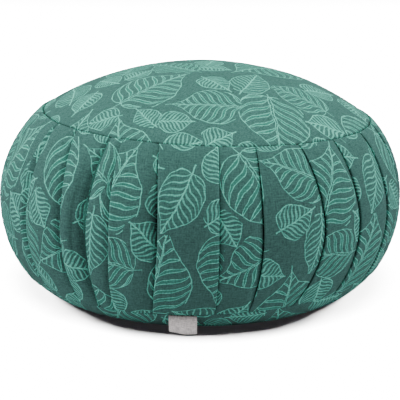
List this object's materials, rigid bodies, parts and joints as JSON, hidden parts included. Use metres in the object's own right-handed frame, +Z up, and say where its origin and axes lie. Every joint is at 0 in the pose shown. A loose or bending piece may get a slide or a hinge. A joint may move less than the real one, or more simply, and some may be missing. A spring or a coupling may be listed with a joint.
{
  "type": "zafu meditation cushion",
  "caption": "Round, firmly filled floor cushion with a knife-pleated side band, crowned top panel and flat foot; for sitting in meditation.",
  "frame": {"origin": "centre of the flat foot, on the floor", "axes": "+Z up along the cushion's axis, -Y to the front, where the seam tab hangs"},
  "size_m": [0.3589, 0.359, 0.194],
  "materials": {
    "printed_cotton": "plain-weave cotton in grey green with a lighter line-drawn leaf print",
    "woven_tape": "fine woven satin tape in warm light grey, blank"
  },
  "bodies": {
    "root": {"pleated_body": "printed_cotton", "top_panel": "printed_cotton", "bottom_panel": "printed_cotton", "seam_tab": "woven_tape"}
  },
  "joints": []
}
